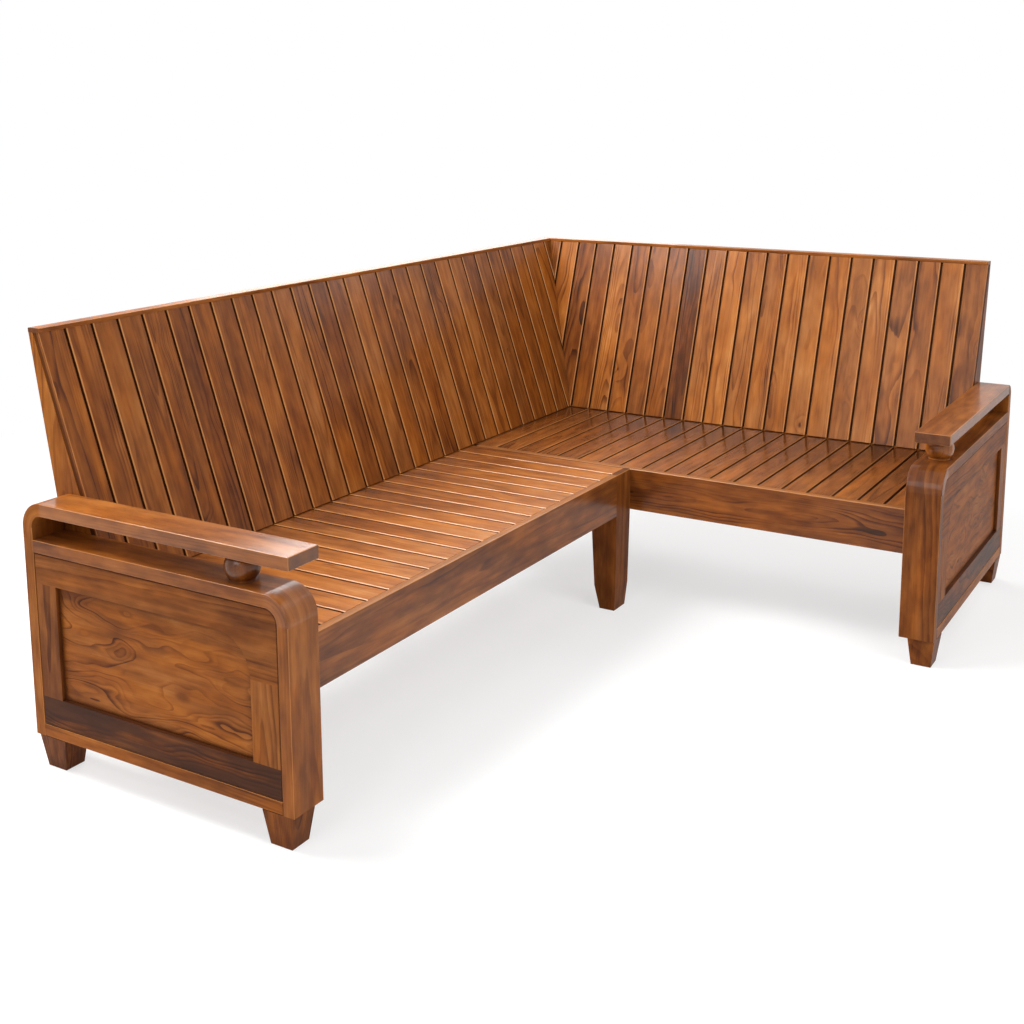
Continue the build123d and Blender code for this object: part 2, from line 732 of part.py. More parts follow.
def make_back_slats(run, name):
    foot = seat_height + back_slat_lift
    reach = run.other_depth + cap_lean - run.arm_face - slat_play
    count = ceil(reach / run.pitch)
    closing = reach - (count - 1) * run.pitch
    if closing < narrowest_slat:
        count -= 1
    front = run.face(foot)
    rear = front + slat_depth
    rise = cap_base - foot
    with BuildPart() as slats:
        with BuildSketch(Plane.XY.offset(foot)) as drawn:
            for index in range(count):
                low, high = run.slat(index)
                if index == count - 1:
                    high = run.other_depth + cap_lean + 2 * slat_depth
                lip_end = high + slat_gap - lip_play
                outline = [
                    (low, rear), (low, front + slat_chamfer), (low + slat_chamfer, front),
                    (high - slat_chamfer, front), (high, front + slat_chamfer), (high, rear - lip_thickness),
                    (lip_end, rear - lip_thickness), (lip_end, rear),
                ]
                with BuildLine():
                    Polyline(*[run.point(a, b, 0) for a, b in outline], close=True)
                make_face()
        leaning = run.inward * lean + up
        extrude(drawn.sketch, amount=rise * leaning.length, dir=leaning)
        split(bisect_by=run.mitre(), keep=Keep.TOP)
    keep(slats, name)


def make_cap(run, name):
    front = run.face(cap_base) - cap_overhang
    rear = run.face(cap_base) + cap_depth
    end = run.other_depth + cap_lean + 2 * cap_depth
    with BuildPart() as cap:
        block(run, (run.arm_face + fit, end), (front, rear), (cap_base, back_height))
        fillet(cap.edges().filter_by(run.length_axis), cap_rounding)
        split(bisect_by=run.mitre(), keep=Keep.TOP)
    keep(cap, name)


# The last slat of the short seat tucks under the long back
tucked_edge = long_run.rear_lip[0] - slat_end_play
for run, name, last_edge in ((long_run, "long", 0), (short_run, "short", tucked_edge)):
    make_seat_slats(run, f"{name}_seat_slats", last_edge)
    make_back_slats(run, f"{name}_back_slats")
    make_cap(run, f"{name}_back_cap")
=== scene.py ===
import math

import bpy
from mathutils import Matrix, Vector


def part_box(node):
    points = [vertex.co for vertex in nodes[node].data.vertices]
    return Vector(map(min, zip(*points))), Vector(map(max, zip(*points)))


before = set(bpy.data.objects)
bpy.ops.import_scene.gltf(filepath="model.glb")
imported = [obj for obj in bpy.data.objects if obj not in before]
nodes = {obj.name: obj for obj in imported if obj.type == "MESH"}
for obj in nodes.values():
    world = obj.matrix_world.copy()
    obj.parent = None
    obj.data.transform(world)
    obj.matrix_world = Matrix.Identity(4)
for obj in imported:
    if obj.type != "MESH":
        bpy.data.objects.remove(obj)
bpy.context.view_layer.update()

scene = bpy.context.scene
scene.view_settings.view_transform = "Standard"
axisX, axisY, axisZ = Vector((1, 0, 0)), Vector((0, 1, 0)), Vector((0, 0, 1))
print("corner bench: frame loaded with", len(nodes), "nodes")


# small helpers for the node trees

def plug(tree, value, socket):
    if isinstance(value, bpy.types.NodeSocket):
        tree.links.new(value, socket)
    elif value is not None:
        socket.default_value = value


def maths(tree, operation, first, second=None, third=None):
    node = tree.nodes.new("ShaderNodeMath")
    node.operation = operation
    for socket, value in zip(node.inputs, (first, second, third)):
        plug(tree, value, socket)
    return node.outputs[0]


def times(tree, first, second):
    return maths(tree, "MULTIPLY", first, second)


def plusTimes(tree, start, first, second):
    return maths(tree, "MULTIPLY_ADD", first, second, start)


def centred(tree, share):
    return maths(tree, "SUBTRACT", share, 0.5)


def rest(tree, share):
    return maths(tree, "SUBTRACT", 1.0, share)


def vectorMaths(tree, operation, first, second=None):
    node = tree.nodes.new("ShaderNodeVectorMath")
    node.operation = operation
    plug(tree, first, node.inputs[0])
    plug(tree, second, node.inputs[1])
    return node.outputs


def scaled(tree, place, factor):
    node = tree.nodes.new("ShaderNodeVectorMath")
    node.operation = "SCALE"
    plug(tree, place, node.inputs[0])
    plug(tree, factor, node.inputs["Scale"])
    return node.outputs[0]


def joined(tree, first, second, third):
    node = tree.nodes.new("ShaderNodeCombineXYZ")
    for socket, value in zip(node.inputs, (first, second, third)):
        plug(tree, value, socket)
    return node.outputs[0]


def colourParts(tree, colour):
    node = tree.nodes.new("ShaderNodeSeparateColor")
    tree.links.new(colour, node.inputs[0])
    return node.outputs


def stretched(tree, place, layer):
    # noise with so many waves a metre along the grain, and others across it
    noise = tree.nodes.new("ShaderNodeTexNoise")
    waves = (layer["along"], layer["across"], layer["across"])
    plug(tree, vectorMaths(tree, "MULTIPLY", place, waves)[0], noise.inputs["Vector"])
    noise.inputs["Scale"].default_value = 1.0
    noise.inputs["Detail"].default_value = layer["detail"]
    noise.inputs["Roughness"].default_value = layer["rough"]
    return noise.outputs


def drawLot(tree, number):
    # four random shares for a board's number
    lot = tree.nodes.new("ShaderNodeTexWhiteNoise")
    lot.noise_dimensions = "1D"
    plug(tree, number, lot.inputs["W"])
    parts = colourParts(tree, lot.outputs["Color"])
    return parts[0], parts[1], parts[2], lot.outputs["Value"]


def ease(tree, value, low, high, start=0.0, end=1.0):
    node = tree.nodes.new("ShaderNodeMapRange")
    node.interpolation_type = "SMOOTHSTEP"
    for socket, number in zip(node.inputs, (value, low, high, start, end)):
        plug(tree, number, socket)
    return node.outputs[0]


def ramp(tree, value, stops):
    node = tree.nodes.new("ShaderNodeValToRGB")
    elements = node.color_ramp.elements
    while len(elements) < len(stops):
        elements.new(0.5)
    for element, (position, colour) in zip(elements, stops):
        element.position = position
        element.color = (*colour, 1.0)
    plug(tree, value, node.inputs[0])
    return node.outputs[0]


def blendColours(tree, share, first, second, kind="MIX"):
    node = tree.nodes.new("ShaderNodeMix")
    node.data_type = "RGBA"
    node.blend_type = kind
    plug(tree, share, node.inputs[0])
    plug(tree, first, node.inputs[6])
    plug(tree, second, node.inputs[7])
    return node.outputs[2]


# the timber: varnished teak, sawn from logs with a wandering heart

teak = {
    "shades": (
        (0.00, (0.034, 0.0110, 0.0034)),
        (0.22, (0.094, 0.0246, 0.0042)),
        (0.42, (0.190, 0.0540, 0.0084)),
        (0.60, (0.300, 0.0930, 0.0142)),
        (0.78, (0.410, 0.1430, 0.0262)),
        (1.00, (0.560, 0.2420, 0.0650)),
    ),
    "heartwood": (0.045, 0.016, 0.008, 1.0),
    # painted shade: the colour that darkens slat grooves and corners
    "groove": (0.078, 0.0225, 0.0062, 1.0),
    # painted highlight: the light colour of lit edges and top faces
    "paintedHighlight": (0.640, 0.280, 0.088, 1.0),
    "golden": (1.06, 0.98, 0.74, 1.0),
    "mauve": (0.93, 0.98, 1.30, 1.0),
}
# layers of noise, with the weight that some of them have in the tone
layers = {
    "cloud": {"along": 3.4, "across": 9.0, "detail": 3.0, "rough": 0.55, "weight": 0.60},
    "mottle": {"along": 13.0, "across": 42.0, "detail": 2.0, "rough": 0.50, "weight": 0.48},
    "streak": {"along": 2.0, "across": 62.0, "detail": 3.0, "rough": 0.60, "weight": 0.40},
    "fibre": {"along": 8.0, "across": 380.0, "detail": 3.0, "rough": 0.62, "weight": 0.18},
    "pores": {"along": 60.0, "across": 1300.0, "detail": 1.0, "rough": 0.50},
    "heart": {"along": 1.6, "across": 17.0, "detail": 3.0, "rough": 0.60},
    "wander": {"along": 3.2, "across": 8.0, "detail": 2.0, "rough": 0.45},
    "ripple": {"along": 5.0, "across": 45.0, "detail": 2.0, "rough": 0.50},
    "lines": {"along": 5.0, "across": 14.0, "detail": 1.0, "rough": 0.50},
    "hue": {"along": 4.5, "across": 19.0, "detail": 2.0, "rough": 0.55},
}
# pairs of numbers are the ends of an easing
lots = {"first": 7.31, "second": 3.17, "secondShift": 51.7, "ring": 13.7, "log": (37.0, 19.0, 23.0)}
# where painted shade darkens the grooves and a strip along one edge, and where a painted highlight lights the
# other edge
grooves = {
    "edge": (0.0018, 0.0014), "below": 0.0008, "plainSide": (0.009, 0.004), "dark": 0.85,
    "grimeAndShade": (0.0036, 0.0018), "edgeShadeShare": 0.75, "highlight": (0.0040, 0.0018),
}
knots = {"cells": (9.0, 15.0, 15.0), "core": (0.10, 0.03), "reach": (0.55, 0.0), "push": 2.6, "tone": -0.40}
pith = {"least": 0.012, "more": 0.075, "side": 0.060, "slope": 0.090}
rings = {
    "least": 0.0035, "more": 0.0040, "ripple": 0.8, "late": (0.25, 0.92), "drop": (1.0, 0.93),
    "unlike": 1.6, "fade": (0.32, 0.62), "faintest": 0.25, "strongest": 1.25, "tone": -0.30,
}
pores = {"open": (0.60, 0.72), "tone": -0.07, "rough": 0.10, "height": -0.60}
heartwood = {"edge": 0.74, "more": -0.30, "soft": 0.10, "share": 0.72}
# the last pair spans a seat, from painted light at its front to painted shade at its back
boards = {"darkLot": (0.84, 0.94), "dark": -0.8, "wear": (-0.28, 0.28)}
hues = {"patch": (0.30, 0.70), "least": -0.15, "most": 0.65, "board": 0.5}
gloss = {"rough": 0.40, "fibre": 0.16, "ringHeight": -0.35}

figureInputs = (
    "Pitch", "Width", "Face", "Lit", "Highlight", "Wear", "Seed", "Swirl", "Curl", "Rings", "Lines", "Tone",
    "Spread", "Heart", "Knots",
)
figureOutputs = {"Color": "Color", "Roughness": "Float", "Height": "Float", "Groove": "Float"}


def markEdges(tree, given, number, fromEdge, toEdge, w):
    # painted shade darkens the grooves below their eased edges and a strip along one edge, and a painted
    # highlight lights the other edge
    firstBoard = maths(tree, "LESS_THAN", number, 0.5)
    freeSide = times(tree, firstBoard, maths(tree, "LESS_THAN", fromEdge, toEdge))
    sunk = maths(tree, "ABSOLUTE", maths(tree, "SUBTRACT", w, given["Face"]))
    below = ease(tree, maths(tree, "SUBTRACT", sunk, given["Lit"]), 0.0, grooves["below"])
    groove = times(tree, ease(tree, maths(tree, "MINIMUM", fromEdge, toEdge), *grooves["edge"]), below)
    # the free side of the row's first board stays plain wood near its face
    plainSide = times(tree, freeSide, ease(tree, sunk, *grooves["plainSide"]))
    groove = times(tree, groove, rest(tree, plainSide))
    grimyAndShaded = ease(tree, toEdge, *grooves["grimeAndShade"], 0.0, grooves["edgeShadeShare"])
    paintedHighlight = times(tree, ease(tree, fromEdge, *grooves["highlight"]), rest(tree, below))
    return groove, grimyAndShaded, times(tree, paintedHighlight, rest(tree, freeSide))


def markKnots(tree, given, place):
    # a few cells of the log hold a knot, and the rings bend round it
    cells = tree.nodes.new("ShaderNodeTexVoronoi")
    plug(tree, vectorMaths(tree, "MULTIPLY", place, knots["cells"])[0], cells.inputs["Vector"])
    cells.inputs["Scale"].default_value = 1.0
    chosen = maths(tree, "LESS_THAN", colourParts(tree, cells.outputs["Color"])[0], given["Knots"])
    away = cells.outputs["Distance"]
    knot = times(tree, chosen, ease(tree, away, *knots["core"]))
    return knot, times(tree, chosen, ease(tree, away, *knots["reach"], 0.0, knots["push"]))


def heartDistance(tree, given, curled, u, across, w, lot):
    # distance from a heart that lies below the face, slopes along it and wanders
    wander = colourParts(tree, stretched(tree, curled, layers["wander"])["Color"])
    swing = times(tree, given["Swirl"], 2.0)
    sideDrift = times(tree, centred(tree, wander[0]), swing)
    deepDrift = times(tree, centred(tree, wander[1]), swing)
    sideLot = times(tree, centred(tree, lot[0]), pith["side"])
    side = maths(tree, "ADD", maths(tree, "ADD", across, sideDrift), sideLot)
    slope = times(tree, centred(tree, lot[2]), pith["slope"])
    deepStart = maths(tree, "ADD", plusTimes(tree, pith["least"], lot[1], pith["more"]), deepDrift)
    deep = maths(tree, "ADD", plusTimes(tree, w, slope, u), deepStart)
    return maths(tree, "SQRT", plusTimes(tree, times(tree, deep, deep), side, side))


def markRings(tree, given, number, place, radius, knotPush, spacingLot):
    # rings, each with its own strength, are darkest where their late wood ends
    spacing = times(tree, plusTimes(tree, rings["least"], spacingLot, rings["more"]), given["Rings"])
    ripple = stretched(tree, place, layers["ripple"])[0]
    phase = plusTimes(tree, maths(tree, "DIVIDE", radius, spacing), ripple, rings["ripple"])
    phase = maths(tree, "ADD", phase, knotPush)
    ringSeed = maths(tree, "ADD", maths(tree, "FLOOR", phase), given["Seed"])
    strength = drawLot(tree, plusTimes(tree, ringSeed, number, lots["ring"]))[3]
    ringPart = maths(tree, "FRACT", phase)
    late = times(tree, ease(tree, ringPart, *rings["late"]), ease(tree, ringPart, *rings["drop"]))
    return times(tree, late, maths(tree, "POWER", strength, rings["unlike"]))


def fadeRings(tree, given, curled, ringLine):
    # the lines come and go over a board
    noise = stretched(tree, curled, layers["lines"])[0]
    fade = ease(tree, noise, *rings["fade"], rings["faintest"], rings["strongest"])
    return times(tree, times(tree, ringLine, given["Lines"]), fade)


def markHeart(tree, given, place):
    # streaks of dark heartwood
    noise = stretched(tree, place, layers["heart"])[0]
    edge = plusTimes(tree, heartwood["edge"], given["Heart"], heartwood["more"])
    heart = ease(tree, noise, edge, maths(tree, "ADD", edge, heartwood["soft"]))
    return times(tree, heart, heartwood["share"])


def boardTone(tree, given, u, place, curled, fibre, toneLot, darkLot):
    # each board has its own tone, a few are dark, and all are clouded, mottled and streaked
    tone = plusTimes(tree, given["Tone"], centred(tree, toneLot), given["Spread"])
    darkBoard = times(tree, ease(tree, darkLot, *boards["darkLot"]), given["Spread"])
    tone = plusTimes(tree, tone, darkBoard, boards["dark"])
    # painted light and shade: the front of a seat is made lighter, and its back, shaded by the seat's back,
    # darker
    tone = plusTimes(tree, tone, ease(tree, u, *boards["wear"], 0.5, -0.5), given["Wear"])
    clouds = {"cloud": stretched(tree, curled, layers["cloud"])[0]}
    for label in ("mottle", "streak"):
        clouds[label] = stretched(tree, place, layers[label])[0]
    clouds["fibre"] = fibre
    for label, noise in clouds.items():
        tone = plusTimes(tree, tone, centred(tree, noise), layers[label]["weight"])
    return tone


def tinted(tree, colour, place, boardLot):
    # golden and mauve patches, some boards more of one than of the other
    noise = stretched(tree, place, layers["hue"])[0]
    patch = ease(tree, noise, *hues["patch"], hues["least"], hues["most"])
    hueShare = plusTimes(tree, patch, boardLot, hues["board"])
    hue = blendColours(tree, hueShare, teak["golden"], teak["mauve"])
    return blendColours(tree, 1.0, colour, hue, "MULTIPLY")


def makeTeakFigure():
    # board coordinates: u along the grain, v across the boards from the first edge, w through the thickness
    tree = bpy.data.node_groups.new("teakFigure", "ShaderNodeTree")
    tree.interface.new_socket(name="Board", in_out="INPUT", socket_type="NodeSocketVector")
    for label in figureInputs:
        tree.interface.new_socket(name=label, in_out="INPUT", socket_type="NodeSocketFloat")
    for label, kind in figureOutputs.items():
        tree.interface.new_socket(name=label, in_out="OUTPUT", socket_type="NodeSocket" + kind)
    given = tree.nodes.new("NodeGroupInput").outputs
    result = tree.nodes.new("NodeGroupOutput").inputs
    axes = tree.nodes.new("ShaderNodeSeparateXYZ")
    tree.links.new(given["Board"], axes.inputs[0])
    u, v, w = axes.outputs

    # which board this is, how far its edges are, and the lots that it draws
    number = maths(tree, "FLOOR", maths(tree, "DIVIDE", v, given["Pitch"]))
    number = maths(tree, "MAXIMUM", number, 0.0)
    middle = times(tree, maths(tree, "ADD", number, 0.5), given["Pitch"])
    across = maths(tree, "SUBTRACT", v, middle)
    fromEdge = maths(tree, "SUBTRACT", v, times(tree, number, given["Pitch"]))
    toEdge = maths(tree, "SUBTRACT", given["Width"], fromEdge)
    groove, grimyAndShaded, paintedHighlight = markEdges(tree, given, number, fromEdge, toEdge, w)
    lotA = drawLot(tree, plusTimes(tree, given["Seed"], number, lots["first"]))
    secondSeed = maths(tree, "ADD", given["Seed"], lots["secondShift"])
    lotB = drawLot(tree, plusTimes(tree, secondSeed, number, lots["second"]))

    # each board reads its own stretch of one endless log
    ways = zip((u, across, w), lotA, lots["log"])
    place = joined(tree, *[plusTimes(tree, way, lot, length) for way, lot, length in ways])
    curled = scaled(tree, place, given["Curl"])

    # what there is to see in the wood
    knot, knotPush = markKnots(tree, given, place)
    radius = heartDistance(tree, given, curled, u, across, w, lotB)
    ringLine = markRings(tree, given, number, place, radius, knotPush, lotA[3])
    lines = fadeRings(tree, given, curled, ringLine)
    fibre = stretched(tree, place, layers["fibre"])[0]
    openPores = ease(tree, stretched(tree, place, layers["pores"])[0], *pores["open"])

    # all of it as one tone, then tint, heartwood, painted edge highlights and painted groove shade
    tone = boardTone(tree, given, u, place, curled, fibre, lotA[1], lotB[3])
    for mark, weight in ((lines, rings["tone"]), (openPores, pores["tone"]), (knot, knots["tone"])):
        tone = plusTimes(tree, tone, mark, weight)
    colour = tinted(tree, ramp(tree, tone, teak["shades"]), place, lotA[2])
    colour = blendColours(tree, markHeart(tree, given, place), colour, teak["heartwood"])
    # painted highlight on the lit edge of each slat
    colour = blendColours(tree, times(tree, paintedHighlight, given["Highlight"]), colour, teak["paintedHighlight"])
    # painted shade in the grooves and along one edge of each slat
    dark = times(tree, maths(tree, "MAXIMUM", groove, grimyAndShaded), grooves["dark"])
    plug(tree, blendColours(tree, dark, colour, teak["groove"]), result["Color"])
    plug(tree, groove, result["Groove"])
    rough = plusTimes(tree, gloss["rough"], fibre, gloss["fibre"])
    plug(tree, plusTimes(tree, rough, openPores, pores["rough"]), result["Roughness"])
    height = plusTimes(tree, fibre, ringLine, gloss["ringHeight"])
    plug(tree, plusTimes(tree, height, openPores, pores["height"]), result["Height"])
    return tree


teakFigure = makeTeakFigure()
print("teak figure drawn")

# the finish, and the painted light: highlights on eased edges, sheen on tops and shade in corners
varnishAndPaintedLight = {
    "specular": 0.06, "coatRough": 0.13, "coatIor": 1.45, "bump": 0.22, "bumpDepth": 0.0005,
    "easedEdge": (0.95, 0.82), "onEnd": (0.80, 0.96), "endDark": 0.55, "onTop": (0.30, 0.80),
    "inCorner": (0.95, 0.50), "cornerSamples": 6,
}


def wrapped(tree, place, bend):
    # round a bend the grain runs along the arc: angle times radius, width, distance from the bend's centre
    node = tree.nodes.new("ShaderNodeSeparateXYZ")
    tree.links.new(place, node.inputs[0])
    forward, width, outward = node.outputs
    arc = times(tree, maths(tree, "ARCTAN2", forward, outward), bend)
    squares = plusTimes(tree, times(tree, forward, forward), outward, outward)
    return joined(tree, arc, width, maths(tree, "SQRT", squares))


def facing(tree, coords, axis):
    # how squarely the surface faces along an axis of its board
    return maths(tree, "ABSOLUTE", vectorMaths(tree, "DOT_PRODUCT", coords["Normal"], axis)["Value"])


def boardColour(tree, coords, colour, along, across, look):
    if look["paintedHighlight"]:
        # a painted highlight lights eased edges, and end grain drinks the varnish and goes dark
        onEnd = facing(tree, coords, along)
        flat = maths(tree, "MAXIMUM", onEnd, facing(tree, coords, across))
        flat = maths(tree, "MAXIMUM", flat, facing(tree, coords, along.cross(across)))
        easedEdge = ease(tree, flat, *varnishAndPaintedLight["easedEdge"], 0.0, look["paintedHighlight"])
        colour = blendColours(tree, easedEdge, colour, teak["paintedHighlight"])
        endGrain = ease(tree, onEnd, *varnishAndPaintedLight["onEnd"], 0.0, varnishAndPaintedLight["endDark"])
        colour = blendColours(tree, endGrain, colour, teak["heartwood"])
    if look["topSheen"]:
        # painted sheen: faces that look up are made lighter
        onTop = ease(tree, facing(tree, coords, axisZ), *varnishAndPaintedLight["onTop"], 0.0, look["topSheen"])
        colour = blendColours(tree, onTop, colour, teak["paintedHighlight"])
    if look["corner"]:
        # painted shade darkens corners and joints, the more the closer other surfaces hem them in
        corner = tree.nodes.new("ShaderNodeAmbientOcclusion")
        corner.samples = varnishAndPaintedLight["cornerSamples"]
        corner.inputs["Distance"].default_value = look["reach"]
        inCorner = ease(tree, corner.outputs["AO"], *varnishAndPaintedLight["inCorner"], 0.0, look["corner"])
        colour = blendColours(tree, inCorner, colour, teak["groove"])
    return colour


def grainPlace(tree, coords, origin, along, across, bend):
    # the piece's own coordinates, turned so that its grain is the first axis
    turn = tree.nodes.new("ShaderNodeMapping")
    turn.vector_type = "TEXTURE"
    turn.inputs["Location"].default_value = origin
    axes = Matrix((along, across, along.cross(across))).transposed()
    turn.inputs["Rotation"].default_value = axes.to_euler()
    tree.links.new(coords["Object"], turn.inputs["Vector"])
    return wrapped(tree, turn.outputs[0], bend) if bend else turn.outputs[0]


def boardMaterial(name, origin, along, across, look, seed):
    # one board or one row of boards
    material = bpy.data.materials.new(name + "Teak")
    material.use_nodes = True
    tree = material.node_tree
    shader = tree.nodes["Principled BSDF"].inputs
    coords = tree.nodes.new("ShaderNodeTexCoord").outputs
    place = grainPlace(tree, coords, origin, along, across, look["bend"])
    figure = tree.nodes.new("ShaderNodeGroup")
    figure.node_tree = teakFigure
    tree.links.new(place, figure.inputs["Board"])
    figure.inputs["Seed"].default_value = seed
    for label in figureInputs:
        if label.lower() in look:
            figure.inputs[label].default_value = look[label.lower()]
    colour = boardColour(tree, coords, figure.outputs["Color"], along, across, look)
    tree.links.new(colour, shader["Base Color"])
    tree.links.new(figure.outputs["Roughness"], shader["Roughness"])
    bump = tree.nodes.new("ShaderNodeBump")
    bump.inputs["Strength"].default_value = varnishAndPaintedLight["bump"]
    bump.inputs["Distance"].default_value = varnishAndPaintedLight["bumpDepth"]
    tree.links.new(figure.outputs["Height"], bump.inputs["Height"])
    tree.links.new(bump.outputs[0], shader["Normal"])
    tree.links.new(bump.outputs[0], shader["Coat Normal"])
    shader["Specular IOR Level"].default_value = varnishAndPaintedLight["specular"]
    coat = look["coat"]
    if look["lit"]:
        # no varnish shines down in the grooves between slats
        coat = plusTimes(tree, look["coat"], figure.outputs["Groove"], -look["coat"])
    plug(tree, coat, shader["Coat Weight"])
    shader["Coat IOR"].default_value = varnishAndPaintedLight["coatIor"]
    shader["Coat Roughness"].default_value = varnishAndPaintedLight["coatRough"]
    return material


# how each piece is cut: grain, the way across it, and how its timber looks

# a pitch wider than any piece makes it a single board
# some looks paint light and shade: painted shade in corners, painted highlights on edges and tops, and seats
# lighter at the front and darker at the back
plainBoard = {
    "pitch": 10.0, "width": 10.0, "face": 0.0, "lit": 0.0, "highlight": 0.0, "wear": 0.0,
    "corner": 0.0, "reach": 0.010, "paintedHighlight": 0.45, "topSheen": 0.0, "bend": None, "coat": 0.10,
    "swirl": 0.008, "curl": 1.0, "rings": 1.0, "lines": 0.8, "tone": 0.56, "spread": 0.08,
    "heart": 0.0, "knots": 0.02,
}
cuts = {
    "armrest": ("run", "breadth", {"tone": 0.50, "coat": 0.9, "lines": 0.5}),
    "top_board": ("run", "breadth", {"tone": 0.52, "coat": 0.5, "corner": 0.7, "lines": 0.45}),
    "bottom_board": ("run", "side", {"tone": 0.54, "corner": 0.7}),
    "front_corner": ("up", "breadth", {
        "tone": 0.53, "coat": 0.7, "corner": 0.7, "lines": 0.45, "paintedHighlight": 0.0}),
    "rear_corner": ("up", "breadth", {"tone": 0.52, "lines": 0.5, "paintedHighlight": 0.0}),
    "front_post": ("up", "breadth", {"tone": 0.53, "coat": 0.3, "corner": 0.7, "lines": 0.45}),
    "rear_post": ("down", "breadth", {"tone": 0.54, "lines": 0.5}),
    "lining": ("run", "up", {"tone": 0.46}),
    "panel": ("run", "up", {
        # strong painted shade round the sunk panel
        "tone": 0.54, "corner": 1.9, "reach": 0.024, "paintedHighlight": 0.0, "swirl": 0.150, "curl": 1.2,
        "rings": 2.6, "lines": 1.2, "knots": 0.06}),
    "panel_top_rail": ("run", "up", {"tone": 0.49, "corner": 0.9, "paintedHighlight": 0.0}),
    "panel_bottom_rail": ("run", "up", {
        "tone": 0.29, "corner": 0.9, "paintedHighlight": 0.0, "heart": 0.90, "swirl": 0.03}),
    "panel_front_stile": ("up", "run", {"tone": 0.56, "corner": 0.9, "paintedHighlight": 0.0}),
    "panel_rear_stile": ("up", "run", {"tone": 0.43, "corner": 0.9, "paintedHighlight": 0.0, "heart": 0.25}),
    "front_foot": ("up", "side", {"tone": 0.34}),
    "rear_foot": ("up", "side", {"tone": 0.34}),
    "ball": ("up", "side", {"tone": 0.43, "coat": 0.8, "paintedHighlight": 0.0}),
    "back_cap": ("run", "side", {"tone": 0.58, "coat": 0.25}),
    "back_slats": ("rake", "run", {
        "tone": 0.57, "spread": 0.17, "heart": 0.10, "swirl": 0.012, "knots": 0.13, "coat": 0.25,
        "lit": 0.0014, "highlight": 0.60}),
    "seat_slats": ("side", "run", {
        "tone": 0.60, "spread": 0.11, "heart": 0.02, "swirl": 0.010, "knots": 0.07, "coat": 0.8,
        "lit": 0.0009, "highlight": 0.60, "wear": 0.28}),
    "end_post": ("up", "side", {"tone": 0.56}),
    "middle_post": ("up", "side", {"tone": 0.50}),
    "front_rail": ("run", "up", {
        "tone": 0.45, "heart": 0.06, "swirl": 0.008, "lines": 0.5, "knots": 0.0, "coat": 0.5,
        "topSheen": 0.22}),
    "rear_rail": ("run", "up", {"tone": 0.48}),
    "seat_bearer": ("run", "up", {"tone": 0.48}),
    "lower_batten": ("run", "rake", {"tone": 0.48}),
    "upper_batten": ("run", "rake", {"tone": 0.48}),
    "corner_post": ("up", "side", {"tone": 0.50}),
    "inner_corner_leg": ("up", "side", {"tone": 0.42, "coat": 0.04}),
    "rear_leg": ("up", "side", {"tone": 0.50}),
}
# single pieces that differ from the rest of their kind
ownLooks = {
    "long_back_slats": {"tone": 0.58},
    "long_seat_slats": {"tone": 0.603},
    "short_back_slats": {"tone": 0.61, "spread": 0.26, "lines": 1.15, "swirl": 0.019},
    # partly painted shade: the short seat is toned darker for the shade of the short back beside it
    "short_seat_slats": {"tone": 0.388, "coat": 1.0, "highlight": 0.10, "wear": 0.31},
    "short_front_rail": {"tone": 0.39, "lines": 1.5, "swirl": 0.030, "rings": 1.8, "heart": 0.10},
    "long_end_post": {"tone": 0.70},
    # painted shade: this post is toned darker, as its side lies in shade
    "short_end_post": {"tone": 0.32},
    "right_front_post": {"tone": 0.38, "coat": 0.15},
    "right_front_corner": {"tone": 0.40, "coat": 0.4},
    "right_top_board": {"tone": 0.38, "coat": 0.12},
    "right_armrest": {"tone": 0.44, "coat": 0.5},
    "right_rear_corner": {"tone": 0.46},
    "right_ball": {"tone": 0.62},
    "right_panel": {"tone": 0.50, "coat": 0.02},
    "right_panel_top_rail": {"tone": 0.45, "coat": 0.02, "reach": 0.016},
    "right_panel_front_stile": {"tone": 0.45, "coat": 0.02, "reach": 0.016},
}
# the bends of the hoops: the plank and the post that meet there, the plank's end (0 front, 1 rear)
# and the radius that the grain follows
bends = {
    "front": {"plank": "top_board", "plankEnd": 0, "post": "front_post", "radius": 0.044},
    "rear": {"plank": "armrest", "plankEnd": 1, "post": "rear_post", "radius": 0.042},
}
# the pieces that meet at a bend, and the quarter turns of grain that come before each straight one
hoops = {
    "front_post": ("front", 0), "front_corner": ("front", None), "top_board": ("front", 1),
    "armrest": ("rear", 1), "rear_corner": ("rear", None), "rear_post": ("rear", 2),
}
# pieces cut from the same board as another
kin = {
    "front_corner": "front_post", "top_board": "front_post", "rear_corner": "armrest", "rear_post": "armrest",
}
# the rows of slats, measured in whole micrometres: a seat and its back share their gaps
rows = {"gap": 0.007, "seatSlats": 19, "places": 6}
runs = {"left": (axisY, axisX), "right": (axisX, axisY), "long": (axisX, axisY), "short": (axisY, axisX)}
rake = math.atan2(0.184, 0.550)  # the backs lean by so much over their height
seeds = {"start": 3.0, "step": 4.37}


def middleOf(name):
    low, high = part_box(name)
    return (low + high) / 2


def bendCentre(prefix, end):
    # level with the end of the plank and with the top of the post that meet at the bend
    run, bend = runs[prefix][0], bends[end]
    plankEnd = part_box(f"{prefix}_{bend['plank']}")[bend["plankEnd"]]
    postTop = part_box(f"{prefix}_{bend['post']}")[1]
    corner = middleOf(f"{prefix}_{end}_corner")
    return corner + run * (plankEnd - corner).dot(run) + axisZ * (postTop - corner).z


def seatLine(prefix):
    # where the face of a back, carried on down its rake, meets the top of its seat
    side = runs[prefix][1]
    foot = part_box(f"{prefix}_back_slats")[0]
    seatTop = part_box(f"{prefix}_seat_slats")[1].z
    return side * (foot.dot(side) - (foot.z - seatTop) * math.tan(rake)) + axisZ * seatTop


